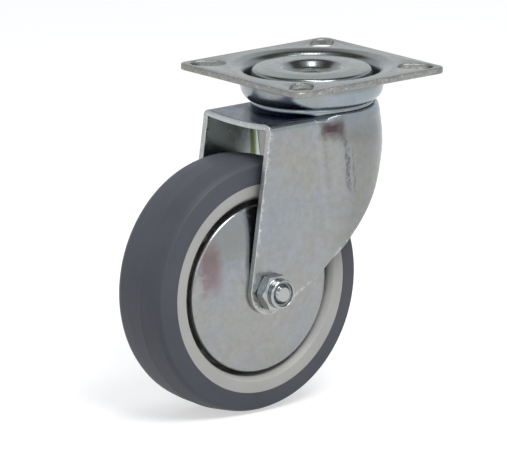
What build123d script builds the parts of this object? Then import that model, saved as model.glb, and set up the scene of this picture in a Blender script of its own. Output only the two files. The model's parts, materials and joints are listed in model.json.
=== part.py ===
from build123d import *

import math
import os

# Swivel castor: a square top plate, a double ball race head, a pressed fork that trails towards -X
# and a soft-tyred wheel on a bolted axle along Y. Millimetres, +Z up.
# The origin is on the swivel axis, in the plate's flat top face.

# ---- driving dimensions ----
WHEEL_D = 100.0  # over the tread
WHEEL_DROP = 80.5  # plate's top face to the axle
TRAIL = 38.0  # swivel axis to the axle
PLATE_SIDE = 74.5
PLATE_T = 2.4
PLATE_CORNER_R = 4.0
SLOT_SPACING = 57.0  # between slot centres, along each side of the plate
SLOT_W = 9.0
SLOT_L = 14.0
FORK_T = 2.5
FORK_HALF = 20.5  # swivel plane to the outside of a leg
HEAD_R = 27.2  # outside of the fork's round hood
AXLE_D = 8.0

# ---- head, heights measured from the plate's top face ----
CAP_T = 2.5
CAP_TOP = -0.4
CAP_R = 24.2
UPPER_BALL_R = 3.5
UPPER_BALLS = 14
UPPER_PITCH_R = 17.7
LOWER_BALL_R = 2.0
LOWER_BALLS = 22
LOWER_PITCH_R = 17.5
RACE_GAP = 0.08  # running clearance between each ball and its races
FLANGE_TOP = CAP_TOP - CAP_T - 2 * (UPPER_BALL_R + RACE_GAP)
FLANGE_BOTTOM = FLANGE_TOP - PLATE_T
FLANGE_HOLE_R = 10.5
CROWN_TOP = -15.4
RIM_TOP = -14.4  # narrow rim of the crown outside the dust ring
RIM_IN_R = 24.3
DUST_RING_TOP = -12.35  # the ring stands round the lower corner of the plate's bowl
DUST_RING_R = 24.1
RACE_DEPTH = 2 * (LOWER_BALL_R + RACE_GAP) - (FLANGE_BOTTOM - CROWN_TOP)
DISH_R = 11.8  # rounded rim of the cap's dished middle
DISH_DEPTH = 3.3
DISH_T = 1.7  # cap's thickness under the dish
DISH_Z = CAP_TOP - DISH_DEPTH
DISH_UNDER = DISH_Z - DISH_T
PIN_TOP_R = 8.0
PIN_BODY_R = 7.0
PIN_NECK_R = 5.5
PIN_HEAD_R = 9.0
PIN_HEAD_H = 2.4

# ---- fork ----
LIP_SAG = 0.8  # dip of the crown at the mouth, between the folds
FOLD_R = 2.8  # outside radius of the folds from crown to sides
MOUTH_X = -37.7
MOUTH_BEND_Z = -17.9  # below this the front edges run forward to the leg ends
LEG_END_R = 9.4  # round end of each leg, about the axle
LEG_LEAVE = -62  # degrees round the axle at which the curved back leaves the leg end
REAR_CURVE = ((-10.5, -75.4), (4.6, -58.8), (14.6, -44.2), (20.0, -32.5))  # places on the curved back
RIM_OUT_R = 26.0
# Plan of the hood at falling heights: (height, radius of the round part, place of the side step)
HOOD_PLAN = [
    (CROWN_TOP, 26.4, -13.4),
    (-26.0, HEAD_R, -12.6),
    (-36.0, HEAD_R - 0.2, -11.3),
    (-55.0, 25.0, -8.9),
    (-75.0, 21.8, -6.4),
    (-100.0, 21.2, -5.0),
]
STEP_RUN = 2.6  # length over which a side swings out from the flat panel to the round part
SKIRT_Z = -26.0  # lower edge of the hood at the back

# ---- wheel ----
RIM_HALF = 14.4
RIM_R = 41.2
RIM_MOUTH_R = 35.2
SHOULDER_HALF = 13.0
SHOULDER_R = 48.3
BEARING_R = 11.0
BEARING_W = 7.0
BEARING_BALL_R = 1.9
BEARING_BALLS = 7
BEARING_GAP = 0.1
BEARING_PITCH_R = 7.5
HUB_HALF = 15.0
GUARD_T = 1.0
GUARD_R = 33.3
NUT_AF = 13.0
NUT_H = 8.0
NUT_HEX_H = 4.8
COLLAR_R = 5.8
POCKET_Z = 5.6  # foot of the nylon ring's seat, from the nut's bearing face
INSERT_H = 1.8
BUSH_R = 6.0
BOLT_HEAD_H = 5.3
BOLT_L = 49.3

WHEEL_R = WHEEL_D / 2
AXLE_R = AXLE_D / 2
LEG_INNER = FORK_HALF - FORK_T
GUARD_INNER = LEG_INNER - GUARD_T
AXLE_POINT = (-TRAIL, 0, -WHEEL_DROP)
AXLE = Axis(AXLE_POINT, (0, 1, 0))
WHEEL_PLANE = Plane(origin=AXLE_POINT, x_dir=(0, 1, 0), z_dir=(1, 0, 0))  # x is along the axle
SIDE_PLANE = Plane.XZ
SIDES = {"near": -1, "far": 1}


def profile(points):
    """A plane face from (x, y, corner radius) points; the radius may be left out at a sharp corner."""
    radii = [point[2] if len(point) > 2 else 0 for point in points]
    return make_face(FilletPolyline([point[:2] for point in points], radius=radii, close=True))


def turned(points, plane, axis):
    """A solid of revolution from (along, radius) or (radius, height) points, corners rounded as asked."""
    return revolve(plane * profile(points), axis)


def ring(inner_r, outer_r, y0, y1):
    """A plain ring about the axle, between two places along it."""
    return turned([(y0, inner_r), (y1, inner_r), (y1, outer_r), (y0, outer_r)], WHEEL_PLANE, AXLE)


# ---- fixed part of the head ----
def plate_slots():
    """The four slots, each along its diagonal of the plate."""
    half = SLOT_SPACING / 2
    slots = []
    for sx, sy in ((1, 1), (-1, 1), (-1, -1), (1, -1)):
        angle = math.degrees(math.atan2(sy, sx))
        slots.append(Pos(sx * half, sy * half) * Rot(0, 0, angle) * SlotOverall(SLOT_L, SLOT_W))
    return slots


def top_plate():
    """One pressing: square flange, drawn bowl, and the bowl's floor that both ball rings run on."""
    join_r = 33.5
    mid = -PLATE_T / 2
    sheet = Plane.XY * (RectangleRounded(PLATE_SIDE, PLATE_SIDE, PLATE_CORNER_R) - Circle(join_r))
    for slot in plate_slots():
        sheet -= slot
    flat = extrude(sheet, -PLATE_T)
    floor_mid = (FLANGE_TOP + FLANGE_BOTTOM) / 2
    line = FilletPolyline(
        (join_r, mid),
        (31.8, mid),
        (28.6, mid - 1.0),
        (25.0, floor_mid),
        (FLANGE_HOLE_R, floor_mid),
        radius=[4.0, 2.4, 5.0],
    )
    bowl = revolve(SIDE_PLANE * trace(line, PLATE_T), Axis.Z)
    return flat + bowl


def head_balls(count, ball_r, pitch_r, height):
    """A ring of loose balls about the swivel axis."""
    return [Rot(0, 0, i * 360 / count) * Pos(pitch_r, 0, height) * Sphere(ball_r) for i in range(count)]


# ---- turning part of the head ----
def race_cap():
    """Domed cap over the upper balls; its dished middle has a tapered hole for the king pin."""
    under = CAP_TOP - CAP_T
    skirt_in = UPPER_PITCH_R + UPPER_BALL_R + 0.5
    skirt_end = CAP_TOP - 5.0
    outline = [
        (PIN_TOP_R + 0.05, DISH_Z + 0.6),
        (PIN_TOP_R + 1.0, DISH_Z + 0.95, 1.5),
        (DISH_R, CAP_TOP, 3.0),
        (16.5, CAP_TOP, 14.0),
        (CAP_R - 1.0, CAP_TOP - 0.6, 1.5),
        (CAP_R, skirt_end),
        (skirt_in, skirt_end),
        (skirt_in, under, 0.5),
        (UPPER_PITCH_R - UPPER_BALL_R - 0.3, under, 0.8),
        (PIN_TOP_R + 1.6, DISH_UNDER),
        (PIN_BODY_R + 0.05, DISH_UNDER),
    ]
    return turned(outline, SIDE_PLANE, Axis.Z)


def king_pin():
    """Rivet with a dished, tapered head: it clamps the cap to the fork's crown through the plate."""
    neck_end = CROWN_TOP - FORK_T
    end = neck_end - PIN_HEAD_H
    outline = [
        (0, DISH_Z),
        (PIN_TOP_R - 3.0, DISH_Z, 8.0),
        (PIN_TOP_R, DISH_Z + 0.55),
        (PIN_BODY_R, DISH_UNDER),
        (PIN_BODY_R, CROWN_TOP),
        (PIN_NECK_R, CROWN_TOP),
        (PIN_NECK_R, neck_end),
        (PIN_HEAD_R, neck_end),
        (PIN_HEAD_R, end + 0.6, 0.8),
        (4.5, end, 3.0),
        (2.8, end, 0.8),
        (0, end + 1.6),
    ]
    return turned(outline, SIDE_PLANE, Axis.Z)


def dust_ring():
    """Rounded ring on the crown that closes the gap under the plate's bowl."""
    inner = DUST_RING_R - 1.2
    outline = [
        (inner, CROWN_TOP),
        (inner, DUST_RING_TOP, 0.2),
        (DUST_RING_R, DUST_RING_TOP, 0.95),
        (DUST_RING_R, CROWN_TOP),
    ]
    return turned(outline, SIDE_PLANE, Axis.Z)


# ---- fork ----
def hood_section(height, radius, step_x, inset, front_x):
    """Level cut through the hood: straight sides, a swing outwards, then the round back."""
    half = FORK_HALF - inset
    round_r = radius - inset
    start = Vector(step_x + 0.5 * inset - STEP_RUN / 2, half)
    end_x = step_x + 0.5 * inset + STEP_RUN / 2
    end = Vector(end_x, math.sqrt(round_r**2 - end_x**2))
    swing = Spline(start, end, tangents=((1, 0), (end.Y, -end.X)))
    far_side = Line((front_x, half), start) + swing
    near_side = mirror(far_side, Plane.XZ)
    back = ThreePointArc(end, (round_r, 0), (end.X, -end.Y))
    front = Line((front_x, half), (front_x, -half))
    edges = ShapeList(edge for part in (far_side, back, near_side, front) for edge in part.edges())
    return Plane.XY.offset(height) * make_face(Wire(edges))


def hood_skin(inset, front_x):
    """The hood as a block: its outer skin, or its inner skin when drawn in by the sheet."""
    crown = CROWN_TOP - inset
    fold_r = FOLD_R - inset
    _, top_r, top_step = HOOD_PLAN[0]
    fold = []
    for turn in (0, 30, 60, 90):
        angle = math.radians(turn)
        drawn = inset + fold_r * (1 - math.sin(angle))
        fold.append(hood_section(crown - fold_r * (1 - math.cos(angle)), top_r, top_step, drawn, front_x))
    wall = [fold[-1]] + [hood_section(*level, inset, front_x) for level in HOOD_PLAN[1:]]
    sag_r = FORK_HALF**2 / (2 * LIP_SAG)
    sag = Pos(0, 0, CROWN_TOP - LIP_SAG + sag_r) * Rot(0, 90, 0) * Cylinder(sag_r + inset, 200)
    ahead = Pos(-60, 0, CROWN_TOP) * Box(80, 2 * FORK_HALF, 10) - Cylinder(RIM_IN_R - inset, 100)
    return loft(fold) + loft(wall) - (sag & ahead)


def crown_rim():
    """Narrow raised rim outside the dust ring, which fades into the crown towards the mouth."""
    bead = turned(
        [
            (RIM_IN_R, RIM_TOP, 0.2),
            (RIM_OUT_R - 0.6, RIM_TOP, 1.0),
            (RIM_OUT_R + 0.2, CROWN_TOP - 1.9),
            (RIM_IN_R, CROWN_TOP - 1.9),
        ],
        SIDE_PLANE,
        Axis.Z,
    )
    ramp = [(-60, CROWN_TOP), (-15, CROWN_TOP, 6.0), (-8, RIM_TOP), (-8, 0), (-60, 0)]
    return bead - extrude(SIDE_PLANE * profile(ramp), 2 * HEAD_R, both=True)


def leg_outline():
    """Side view of the whole fork: mouth, round leg end, curved back and rear skirt."""
    centre = Vector(-TRAIL, -WHEEL_DROP)
    bend = Vector(MOUTH_X, MOUTH_BEND_Z)
    reach = bend - centre
    lean = math.atan2(reach.Y, reach.X) + math.acos(LEG_END_R / reach.length)
    touch = centre + Vector(math.cos(lean), math.sin(lean)) * LEG_END_R
    toe = centre - Vector(0, LEG_END_R)
    leave = math.radians(LEG_LEAVE)
    heel = centre + Vector(math.cos(leave), math.sin(leave)) * LEG_END_R
    along = Vector(-math.sin(leave), math.cos(leave))
    past = HEAD_R + 2
    edges = [
        Polyline((past, SKIRT_Z), (past, 0), (MOUTH_X, 0), bend, touch),
        ThreePointArc(touch, toe, heel),
        Spline(heel, *REAR_CURVE, (past, SKIRT_Z), tangents=(along, (1, 0))),
    ]
    return make_face(Wire(ShapeList(edge for part in edges for edge in part.edges())))


def fork():
    """One pressing: round hood over the ball race, open mouth, and two legs down to the axle."""
    race_r = LOWER_BALL_R + 0.2
    race = Pos(0, 0, CROWN_TOP - RACE_DEPTH + race_r)
    outside = hood_skin(0, MOUTH_X - 2 * LEG_END_R) + crown_rim() - race * Torus(LOWER_PITCH_R, race_r)
    inside = hood_skin(FORK_T, MOUTH_X - 3 * LEG_END_R) - race * Torus(LOWER_PITCH_R, race_r + FORK_T)
    body = (outside - inside) & extrude(SIDE_PLANE * leg_outline(), HEAD_R + 5, both=True)
    pin_hole = Pos(0, 0, CROWN_TOP) * Cylinder(PIN_NECK_R, 4 * FORK_T)
    axle_hole = Pos(*AXLE_POINT) * Rot(90, 0, 0) * Cylinder(AXLE_R + 0.2, 3 * FORK_HALF)
    return body - pin_hole - axle_hole


# ---- wheel ----
def tyre_profile(sign):
    """Outer points of one half of the tyre, from the tread's middle to the rim."""
    return [
        (sign * 6.5, WHEEL_R - 0.35),
        (sign * SHOULDER_HALF * 0.86, WHEEL_R - 1.1),
        (sign * SHOULDER_HALF, SHOULDER_R - 0.5),
        (sign * (RIM_HALF - 0.1), RIM_R + 0.6),
        (sign * RIM_HALF, RIM_R),
    ]


def key_profile(sign):
    """Seat that the tyre is moulded onto, which keys it to the rim."""
    return [
        (sign * (RIM_HALF - 1.6), RIM_R),
        (sign * (RIM_HALF - 2.6), RIM_R - 2.0),
        (sign * 2.6, RIM_R - 2.0),
        (sign * 1.8, RIM_R + 0.6),
    ]


def tyre():
    """Soft tread moulded round the rim."""
    outline = list(reversed(tyre_profile(-1))) + [(0, WHEEL_R)] + tyre_profile(1)
    outline += key_profile(1) + list(reversed(key_profile(-1)))
    return turned(outline, WHEEL_PLANE, AXLE)


def wheel_core():
    """Moulded rim, web and hub in one, with ribs on both faces of the web."""
    web = 2.2
    hub_r = 15.0
    rim_in = 34.6
    seat = HUB_HALF - BEARING_W
    half = [
        (RIM_HALF, RIM_R),
        (RIM_HALF, RIM_MOUTH_R + 1.5, 1.2),
        (RIM_HALF - 2.0, RIM_MOUTH_R, 3.0),
        (web + 1.5, rim_in - 0.6),
        (web, rim_in - 2.0),
        (web, hub_r + 1.5),
        (web + 1.5, hub_r),
        (HUB_HALF, hub_r - 0.6),
        (HUB_HALF, BEARING_R),
        (seat, BEARING_R),
        (seat, BEARING_R - 2.0),
    ]
    outline = key_profile(-1)[::-1] + [(-y, *rest) for y, *rest in half]
    outline += half[::-1] + key_profile(1)
    core = turned(outline, WHEEL_PLANE, AXLE)
    ribs = 8
    rib = Pos(0, 0, (hub_r + rim_in) / 2 - 0.5) * Box(2.4, 2 * (RIM_HALF - 7.4), rim_in - hub_r + 1.5)
    for i in range(ribs):
        core += Pos(*AXLE_POINT) * Rot(0, i * 360 / ribs, 0) * rib
    return core


def bearing_ring(sign, inner_r, outer_r):
    """One ring of a deep-groove ball bearing, with its ball track."""
    y0, y1 = sorted((sign * (HUB_HALF - BEARING_W), sign * HUB_HALF))
    track = Torus(BEARING_PITCH_R, BEARING_BALL_R + BEARING_GAP)
    return ring(inner_r, outer_r, y0, y1) - Pos(-TRAIL, (y0 + y1) / 2, -WHEEL_DROP) * Rot(90, 0, 0) * track


def bearing_outer(sign):
    """Outer ring, pressed into the hub."""
    return bearing_ring(sign, BEARING_R - 1.8, BEARING_R)


def bearing_inner(sign):
    """Inner ring, clamped on the axle."""
    return bearing_ring(sign, AXLE_R, BEARING_PITCH_R - 1.5)


def bearing_balls(sign):
    """The bearing's balls, evenly spaced."""
    centre = sign * (HUB_HALF - BEARING_W / 2)
    step = 360 / BEARING_BALLS
    place = Pos(-TRAIL, centre, -WHEEL_DROP)
    ball = Pos(0, 0, BEARING_PITCH_R) * Sphere(BEARING_BALL_R)
    return [place * Rot(0, i * step, 0) * ball for i in range(BEARING_BALLS)]


def bearing_shields(sign):
    """Two thin shields snapped into the outer ring, one at each face."""
    inner, outer = BEARING_PITCH_R - 1.3, BEARING_R - 1.8
    shields = []
    for inset in (0.2, BEARING_W - 0.6):
        y = sign * (HUB_HALF - inset)
        shields.append(ring(inner, outer, min(y, y - sign * 0.4), max(y, y - sign * 0.4)))
    return shields


def end_bush(sign):
    """Short bush between an inner ring and a thread guard."""
    y0, y1 = sign * HUB_HALF, sign * GUARD_INNER
    return ring(AXLE_R + 0.1, BUSH_R, min(y0, y1), max(y0, y1))


def spacer_tube():
    """Tube between the two inner rings, which takes the axle's clamping load."""
    half = HUB_HALF - BEARING_W
    return ring(AXLE_R + 0.1, BUSH_R, -half, half)


def thread_guard(sign):
    """Pressed disc: flat boss at the axle, gently domed face, edge rolled in towards the rim."""
    boss = LEG_INNER - GUARD_T / 2
    edge_r = GUARD_R - GUARD_T / 2
    lip = RIM_HALF - 1.0
    roll = 0.8
    line = [
        Line((boss, AXLE_R + 0.15), (boss, 9.0)),
        Spline((boss, 9.0), (boss - 0.7, 14.0), tangents=((0, 1), (-0.1, 1))),
        ThreePointArc((boss - 0.7, 14.0), (boss - 1.8, 23.0), (lip, edge_r - roll)),
        ThreePointArc((lip, edge_r - roll), (lip - 0.35, edge_r - 0.2), (lip - roll, edge_r)),
        Line((lip - roll, edge_r), (lip - 2 * roll, edge_r)),
    ]
    disc = revolve(WHEEL_PLANE * trace(line, GUARD_T), AXLE)
    return disc if sign > 0 else mirror(disc, Plane.XZ)


def hex_prism(height):
    """Hexagon with two corners level, the corners at both ends turned down by a 30 degree cone."""
    body = extrude(RegularPolygon(NUT_AF / 2, 6, major_radius=False), height)
    corner_r = NUT_AF / math.sqrt(3)
    turned_r = NUT_AF / 2 - 0.1
    drop = (corner_r - turned_r) * math.tan(math.radians(30))
    outline = [
        (0, 0),
        (turned_r, 0),
        (corner_r, drop),
        (corner_r, height - drop),
        (turned_r, height),
        (0, height),
    ]
    return body & revolve(SIDE_PLANE * profile(outline), Axis.Z)


def axle_nut():
    """Locking nut: hexagon with a round collar that holds a nylon ring."""
    standing = (Align.CENTER, Align.CENTER, Align.MIN)
    body = hex_prism(NUT_HEX_H) + Cylinder(COLLAR_R, NUT_H, align=standing)
    bore = Cylinder(AXLE_R, 3 * NUT_H)
    pocket = Pos(0, 0, POCKET_Z) * Cylinder(COLLAR_R - 0.8, INSERT_H, align=standing)
    return Pos(-TRAIL, -FORK_HALF, -WHEEL_DROP) * Rot(90, 0, 0) * (body - bore - pocket)


def nut_insert():
    """Nylon ring in the locking nut's collar."""
    foot = -FORK_HALF - POCKET_Z
    return ring(AXLE_R, COLLAR_R - 1.1, foot - INSERT_H, foot)


def axle_bolt():
    """Hexagon bolt through legs, guards, bushes and bearings, head on the far side."""
    shank_r = AXLE_R - 0.05
    chamfer_l = 0.9
    tip = FORK_HALF - BOLT_L
    outline = [
        (FORK_HALF, 0),
        (FORK_HALF, shank_r),
        (tip + chamfer_l, shank_r),
        (tip, shank_r - chamfer_l),
        (tip, 0),
    ]
    shank = turned(outline, WHEEL_PLANE, AXLE)
    head = Pos(-TRAIL, FORK_HALF, -WHEEL_DROP) * Rot(-90, 0, 0) * hex_prism(BOLT_HEAD_H)
    return shank + head


def build():
    """Every piece of the castor, by node name."""
    upper_z = CAP_TOP - CAP_T - UPPER_BALL_R - RACE_GAP
    lower_z = FLANGE_BOTTOM - LOWER_BALL_R - RACE_GAP
    nodes = {
        "top_plate": [top_plate()],
        "upper_balls": head_balls(UPPER_BALLS, UPPER_BALL_R, UPPER_PITCH_R, upper_z),
        "lower_balls": head_balls(LOWER_BALLS, LOWER_BALL_R, LOWER_PITCH_R, lower_z),
        "race_cap": [race_cap()],
        "king_pin": [king_pin()],
        "dust_ring": [dust_ring()],
        "fork": [fork()],
        "tyre": [tyre()],
        "wheel_core": [wheel_core()],
        "spacer_tube": [spacer_tube()],
        "axle_bolt": [axle_bolt()],
        "axle_nut": [axle_nut()],
        "nut_insert": [nut_insert()],
    }
    for side, sign in SIDES.items():
        nodes[f"bearing_outer_{side}"] = [bearing_outer(sign)]
        nodes[f"bearing_inner_{side}"] = [bearing_inner(sign)]
        nodes[f"bearing_balls_{side}"] = bearing_balls(sign)
        nodes[f"bearing_shields_{side}"] = bearing_shields(sign)
        nodes[f"end_bush_{side}"] = [end_bush(sign)]
        nodes[f"thread_guard_{side}"] = [thread_guard(sign)]
    return nodes


os.makedirs("parts", exist_ok=True)
for node, pieces in build().items():
    solids = [solid for piece in pieces for solid in piece.solids()]
    export_step(Compound(children=solids), f"parts/{node}.step")
    print(node, len(solids), "solid(s),", round(sum(solid.volume for solid in solids), 1), "mm3")
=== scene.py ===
import json
import math

import bmesh
import bpy
import numpy as np
from mathutils import Matrix, Vector
from mathutils.geometry import delaunay_2d_cdt


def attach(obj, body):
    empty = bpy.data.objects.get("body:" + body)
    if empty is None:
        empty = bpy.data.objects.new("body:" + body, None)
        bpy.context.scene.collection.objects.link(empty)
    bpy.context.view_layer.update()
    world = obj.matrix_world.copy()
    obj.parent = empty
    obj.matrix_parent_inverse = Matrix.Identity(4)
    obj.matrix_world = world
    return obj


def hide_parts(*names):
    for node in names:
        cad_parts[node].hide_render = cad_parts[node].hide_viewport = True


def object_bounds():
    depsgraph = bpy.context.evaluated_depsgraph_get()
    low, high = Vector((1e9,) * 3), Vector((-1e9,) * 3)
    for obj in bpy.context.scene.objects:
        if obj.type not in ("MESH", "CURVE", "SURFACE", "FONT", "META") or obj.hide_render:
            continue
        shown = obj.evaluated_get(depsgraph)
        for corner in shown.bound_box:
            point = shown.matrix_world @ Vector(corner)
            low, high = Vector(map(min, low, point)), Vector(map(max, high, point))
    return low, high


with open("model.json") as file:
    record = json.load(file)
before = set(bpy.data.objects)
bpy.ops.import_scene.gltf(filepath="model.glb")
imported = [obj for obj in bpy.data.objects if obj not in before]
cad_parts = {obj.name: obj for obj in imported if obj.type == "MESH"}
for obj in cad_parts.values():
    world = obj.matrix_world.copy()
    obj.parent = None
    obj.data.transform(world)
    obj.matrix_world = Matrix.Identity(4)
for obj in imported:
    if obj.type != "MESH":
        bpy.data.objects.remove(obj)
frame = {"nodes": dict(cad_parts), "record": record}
cad_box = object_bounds()

MM = 0.001
WELD_M = 2e-7

# ---- dimensions shared with the solids, in millimetres ----
TRAIL = 38.0
WHEEL_DROP = 80.5
PLATE_SIDE = 74.5
PLATE_T = 2.4
PLATE_CORNER_R = 4.0
SLOT_SPACING = 57.0
SLOT_W = 9.0
SLOT_L = 14.0
BOWL_JOIN_R = 33.5
BOWL_FLOOR_Z = -11.26
FLANGE_HOLE_R = 10.5
CROWN_TOP = -15.4
FOLD_R = 2.8
FORK_T = 2.5
FORK_HALF = 20.5
MOUTH_X = -37.7
MOUTH_BEND_Z = -18.8
LEG_END_R = 9.4
LEG_LEAVE = -62.0  # degrees round the leg's end at which its rear edge leaves it
STEP_RUN = 4.4
LIP_SAG = 0.8
RING_R = 24.1
RING_TOP_Z = -12.35
RING_BEAD_H = 1.65
RING_BEAD_W = 1.1
RING_FOOT_Z = -16.3
RING_STEPS = 256
# height, radius of the round part, place of the side step
HOOD_PLAN = (
    (-18.2, 26.4, -13.4),
    (-26.0, 27.2, -12.6),
    (-36.0, 27.0, -11.3),
    (-55.0, 25.0, -8.9),
    (-75.0, 21.8, -6.4),
    (-100.0, 21.2, -5.0),
)
REAR_CURVE = ((-10.5, -75.4), (4.6, -58.8), (14.6, -44.2), (20.0, -32.5), (29.2, -26.0))

# ---- camera, at the photograph's viewing angle ----
CAM_AZ, CAM_EL, CAM_ROLL = (math.radians(a) for a in (-39.017, 13.218, -0.403))
CAM_DISTANCE = 4.0
CAM_SCALE = 2.579  # pixels per millimetre at the origin
CAM_SHIFT_PX = (58.232, -169.765)
FRAME_WIDTH_PX = 507
SENSOR_MM = 36.0


def make_camera():
    """The photograph's view: a long lens on the fitted direction, scale and shift."""
    back = Vector(
        (math.sin(CAM_AZ) * math.cos(CAM_EL), -math.cos(CAM_AZ) * math.cos(CAM_EL), math.sin(CAM_EL))
    )
    right = Vector((math.cos(CAM_AZ), math.sin(CAM_AZ), 0))
    up = back.cross(right)
    roll_right = right * math.cos(CAM_ROLL) + up * math.sin(CAM_ROLL)
    roll_up = up * math.cos(CAM_ROLL) - right * math.sin(CAM_ROLL)
    place = (
        back * CAM_DISTANCE
        - roll_right * (CAM_SHIFT_PX[0] / CAM_SCALE * MM)
        + roll_up * (CAM_SHIFT_PX[1] / CAM_SCALE * MM)
    )
    data = bpy.data.cameras.new("camera")
    data.sensor_fit = "HORIZONTAL"
    data.sensor_width = SENSOR_MM
    data.lens = CAM_SCALE * CAM_DISTANCE / MM / FRAME_WIDTH_PX * SENSOR_MM
    data.clip_start = 0.1
    data.clip_end = 50.0
    camera = bpy.data.objects.new("camera", data)
    turn = Matrix((roll_right, roll_up, back)).transposed()
    camera.matrix_world = Matrix.Translation(place) @ turn.to_4x4()
    bpy.context.scene.collection.objects.link(camera)
    bpy.context.scene.camera = camera


# ---- node helpers ----
class Nodes:
    """Short way to build a material's node tree."""

    def __init__(self, tree):
        self.tree = tree
        tree.nodes.clear()

    def add(self, kind, links=None, **settings):
        node = self.tree.nodes.new(kind)
        values = settings.pop("values", {})
        for key, value in settings.items():
            setattr(node, key, value)
        for key, value in values.items():
            node.inputs[key].default_value = value
        for key, source in (links or {}).items():
            self.tree.links.new(source, node.inputs[key])
        return node

    def math(self, operation, a, b=None):
        node = self.tree.nodes.new("ShaderNodeMath")
        node.operation = operation
        for i, value in enumerate((a, b)):
            if value is None:
                continue
            if isinstance(value, (int, float)):
                node.inputs[i].default_value = value
            else:
                self.tree.links.new(value, node.inputs[i])
        return node.outputs[0]

    def product(self, first, *others):
        for other in others:
            first = self.math("MULTIPLY", first, other)
        return first

    def spread(self, value, low, high, to_low, to_high):
        """Maps low..high to to_low..to_high, and holds the end values outside."""
        node = self.add("ShaderNodeMapRange", {"Value": value})
        for key, number in (("From Min", low), ("From Max", high), ("To Min", to_low), ("To Max", to_high)):
            node.inputs[key].default_value = number
        return node.outputs["Result"]

    def noise(self, vector, scale, detail=3.0, roughness=0.55):
        values = {"Scale": scale, "Detail": detail, "Roughness": roughness}
        return self.add("ShaderNodeTexNoise", {"Vector": vector}, values=values).outputs["Fac"]

    def blend(self, factor, a, b, mode="MIX"):
        node = self.add("ShaderNodeMix", data_type="RGBA", blend_type=mode)
        if isinstance(factor, (int, float)):
            node.inputs[0].default_value = factor
        else:
            self.tree.links.new(factor, node.inputs[0])
        for socket, value in ((6, a), (7, b)):
            if isinstance(value, tuple):
                node.inputs[socket].default_value = (*value, 1.0)
            else:
                self.tree.links.new(value, node.inputs[socket])
        return node.outputs[2]

    def tint(self, factor, color, by):
        """Multiplies the colour by another where the factor is 1."""
        return self.blend(factor, color, by, "MULTIPLY")

    def window(self, value, low, high, fade):
        """1 where the value lies between low and high, falling to 0 over the fade outside."""
        rise = self.spread(value, low - fade, low, 0.0, 1.0)
        return self.product(rise, self.spread(value, high, high + fade, 1.0, 0.0))

    def span(self, value, low, high, fade):
        """The same window with its limits in millimetres."""
        return self.window(value, low * MM, high * MM, fade * MM)

    def ramp(self, value, low, high):
        """0 below low and 1 above high, both in millimetres."""
        return self.spread(value, low * MM, high * MM, 0.0, 1.0)

    def drift(self, place, scale, reach, detail=3.0, roughness=0.55):
        """Uneven shift about zero, reach millimetres from end to end."""
        about_zero = self.math("SUBTRACT", self.noise(place, scale, detail, roughness), 0.5)
        return self.product(about_zero, reach * MM)


def new_material(name):
    material = bpy.data.materials.new(name)
    material.use_nodes = True
    return material, Nodes(material.node_tree)


# ---- materials ----
# Painted reflections, painted light and painted shade on the pressed sheet. Spans are (low, high, fade) in
# millimetres and ramps are (low, high).
# They are read off one photograph.
HEAD_BLUE_Z = (-15.0, -2.4, 8.0)
SHADED_TOP_Z = (-7.0, -5.0)
CROWN_Z = (-16.3, -14.5, 0.6)
CROWN_X = (-37.5, -8.5, 1.0)
CROWN_SIDE = (18.0, 20.0)
RING_SHADE_X = (-23.5, -8.5, 3.5)
INNER_SIDE = (0.0, 18.1, 0.3)
INNER_Z = (-44.0, -18.5, 2.0)
REFLECTED_STREAK_SLOPE = 0.126
REFLECTED_STREAKS = (((-9.2, -7.9, 0.7), (-43.0, -26.0, 4.0), 1.0), ((-6.0, -5.6, 0.5), (-44.0, -30.0, 3.0), 0.6))
REFLECTED_STREAK_SIDE = (22.0, 23.0)
REFLECTED_STREAK_DEPTH = 0.80
BROWN_X = (-12.4, -6.2, 2.0)
BROWN_Z = (-21.0, -18.8, 4.2)
BROWN_SIDE = (19.5, 20.3)
BROWN_CORE_X = (-11.5, -9.0, 2.0)
BROWN_CORE_Z = (-20.5, -19.0, 1.0)
DISC_X = (-65.5, -61.0, 3.5)
DISC_Z = (-74.0, -64.0, 8.0)
DISC_SIDE = (11.5, 18.0, 1.0)
OLIVE_X = (-15.8, -14.0, 1.0)
OLIVE_Y = (15.0, 19.0, 0.4)
OLIVE_Z = (-40.0, -18.5, 2.0)
ROUND_X = (-9.0, 0.0)
ROUND_Z = (-24.0, -18.0)
FLANGE_Z = (-2.4, 0.0, 0.2)
# noise as (scale, detail, roughness)
CLOUDS = (38.0, 4.0, 0.55)
BLUE_CLOUDS = (95.0, 3.0, 0.6)
YELLOW_CLOUDS = (210.0, 4.0, 0.7)
SPECKS = (1100.0, 2.0, 0.5)
PAINTED_GLINTS = (900.0, 2.0, 0.6)
WAVES = (90.0, 2.0, 0.5)
REFLECTED_STREAK_BREAKUP = (620.0, 3.0, 0.7)


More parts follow.
